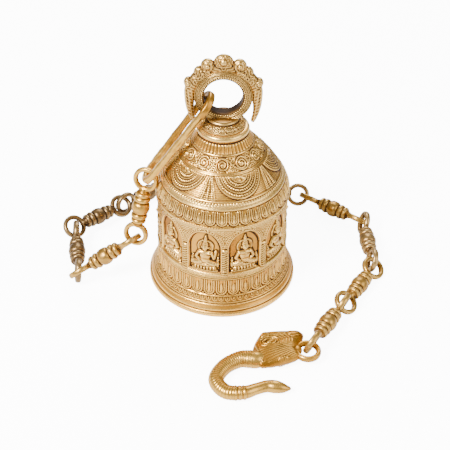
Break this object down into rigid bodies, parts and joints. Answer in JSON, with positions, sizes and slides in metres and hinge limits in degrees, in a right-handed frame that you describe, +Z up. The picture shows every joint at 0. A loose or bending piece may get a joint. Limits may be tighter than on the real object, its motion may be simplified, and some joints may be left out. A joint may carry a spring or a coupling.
{
  "type": "temple bell",
  "caption": "Cast brass temple bell with a crested ring on its crown, hung on a chain of turned links that ends in an elephant-head hook.",
  "frame": {"origin": "centre of the whole object's footprint on the surface that it stands on; the bell's own axis is at x 0.5 mm, y 12.4 mm", "axes": "+Z up along the bell's axis, +X to the right and -Y towards the front, with the crown ring's face turned to the front"},
  "size_m": [0.2268, 0.2236, 0.1698],
  "materials": {
    "aged_brass": "aged cast brass, dark in the recesses and worn bright on the relief",
    "golden_brass": "warm satin cast brass",
    "tarnished_brass": "brown tarnished cast brass"
  },
  "bodies": {
    "bell": {"bell_body": "aged_brass", "crown_ring": "aged_brass", "crown_washer": "tarnished_brass", "crown_nut": "tarnished_brass"},
    "clapper_hanger": {"clapper_hanger": "tarnished_brass"},
    "clapper": {"clapper": "golden_brass"},
    "long_link": {"long_link": "golden_brass"},
    "chain_link_01": {"chain_link_01": "golden_brass"},
    "chain_link_02": {"chain_link_02": "golden_brass"},
    "chain_link_03": {"chain_link_03": "tarnished_brass"},
    "chain_link_04": {"chain_link_04": "tarnished_brass"},
    "chain_link_05": {"chain_link_05": "tarnished_brass"},
    "chain_link_06": {"chain_link_06": "tarnished_brass"},
    "chain_link_07": {"chain_link_07": "tarnished_brass"},
    "chain_link_08": {"chain_link_08": "golden_brass"},
    "chain_link_09": {"chain_link_09": "golden_brass"},
    "chain_link_10": {"chain_link_10": "golden_brass"},
    "chain_link_11": {"chain_link_11": "golden_brass"},
    "elephant_hook": {"elephant_hook": "golden_brass"}
  },
  "joints": [
    {"name": "hanger_swing", "type": "hinge", "parent": "bell", "child": "clapper_hanger", "pos_m": [0.0005, 0.0124, 0.1014], "axis": [0, 1, 0], "range_deg": [-5, 5]},
    {"name": "clapper_swing", "type": "hinge", "parent": "clapper_hanger", "child": "clapper", "pos_m": [0.0005, 0.0124, 0.0882], "axis": [1, 0, 0], "range_deg": [-18, 18]},
    {"name": "long_link_swing", "type": "hinge", "parent": "bell", "child": "long_link", "pos_m": [-0.0073, 0.0124, 0.1402], "axis": [0, -1, 0], "range_deg": [-60, 0]},
    {"name": "chain_link_01_swing", "type": "hinge", "parent": "long_link", "child": "chain_link_01", "pos_m": [-0.0491, 0.006, 0.0819], "axis": [0.0518, -0.996, 0.0722], "range_deg": [-50, 5]},
    {"name": "chain_link_02_swing", "type": "hinge", "parent": "chain_link_01", "child": "chain_link_02", "pos_m": [-0.06072, -0.00098, 0.03548], "axis": [-0.7845, 0.3535, 0.5095], "range_deg": [-60, 60]},
    {"name": "chain_link_03_swing", "type": "hinge", "parent": "chain_link_02", "child": "chain_link_03", "pos_m": [-0.09817, -0.00156, 0.00684], "axis": [-0.7813, -0.611, -0.1277], "range_deg": [-35, 15]},
    {"name": "chain_link_04_swing", "type": "hinge", "parent": "chain_link_03", "child": "chain_link_04", "pos_m": [-0.105, 0.04489, 0.01199], "axis": [0.1891, -0.3809, 0.9051], "range_deg": [-50, 50]},
    {"name": "chain_link_05_swing", "type": "hinge", "parent": "chain_link_04", "child": "chain_link_05", "pos_m": [-0.07007, 0.07517, 0.009], "axis": [0.5332, -0.5162, -0.6702], "range_deg": [-6, 3]},
    {"name": "chain_link_06_swing", "type": "hinge", "parent": "chain_link_05", "child": "chain_link_06", "pos_m": [-0.03473, 0.104, 0.00656], "axis": [0.2513, 0.295, 0.9219], "range_deg": [-25, 50]},
    {"name": "chain_link_07_swing", "type": "hinge", "parent": "chain_link_06", "child": "chain_link_07", "pos_m": [0.01571, 0.09683, 0.00608], "axis": [0.0828, 0.9814, -0.1734], "range_deg": [-35, 20]},
    {"name": "chain_link_08_swing", "type": "hinge", "parent": "chain_link_07", "child": "chain_link_08", "pos_m": [0.0639, 0.08619, 0.00667], "axis": [0.3034, 0.5824, 0.7541], "range_deg": [-20, 50]},
    {"name": "chain_link_09_swing", "type": "hinge", "parent": "chain_link_08", "child": "chain_link_09", "pos_m": [0.10344, 0.05457, 0.00917], "axis": [-0.7705, -0.247, 0.5877], "range_deg": [-60, 60]},
    {"name": "chain_link_10_swing", "type": "hinge", "parent": "chain_link_09", "child": "chain_link_10", "pos_m": [0.10432, 0.00596, 0.00598], "axis": [0.2774, -0.434, 0.8572], "range_deg": [-15, 50]},
    {"name": "chain_link_11_swing", "type": "hinge", "parent": "chain_link_10", "child": "chain_link_11", "pos_m": [0.0787, -0.03291, 0.00717], "axis": [-0.5432, 0.6554, 0.5247], "range_deg": [-25, 60]},
    {"name": "hook_swing", "type": "hinge", "parent": "chain_link_11", "child": "elephant_hook", "pos_m": [0.05473, -0.07305, 0.00696], "axis": [0.0951, -0.4052, 0.9092], "range_deg": [-20, 60]}
  ]
}
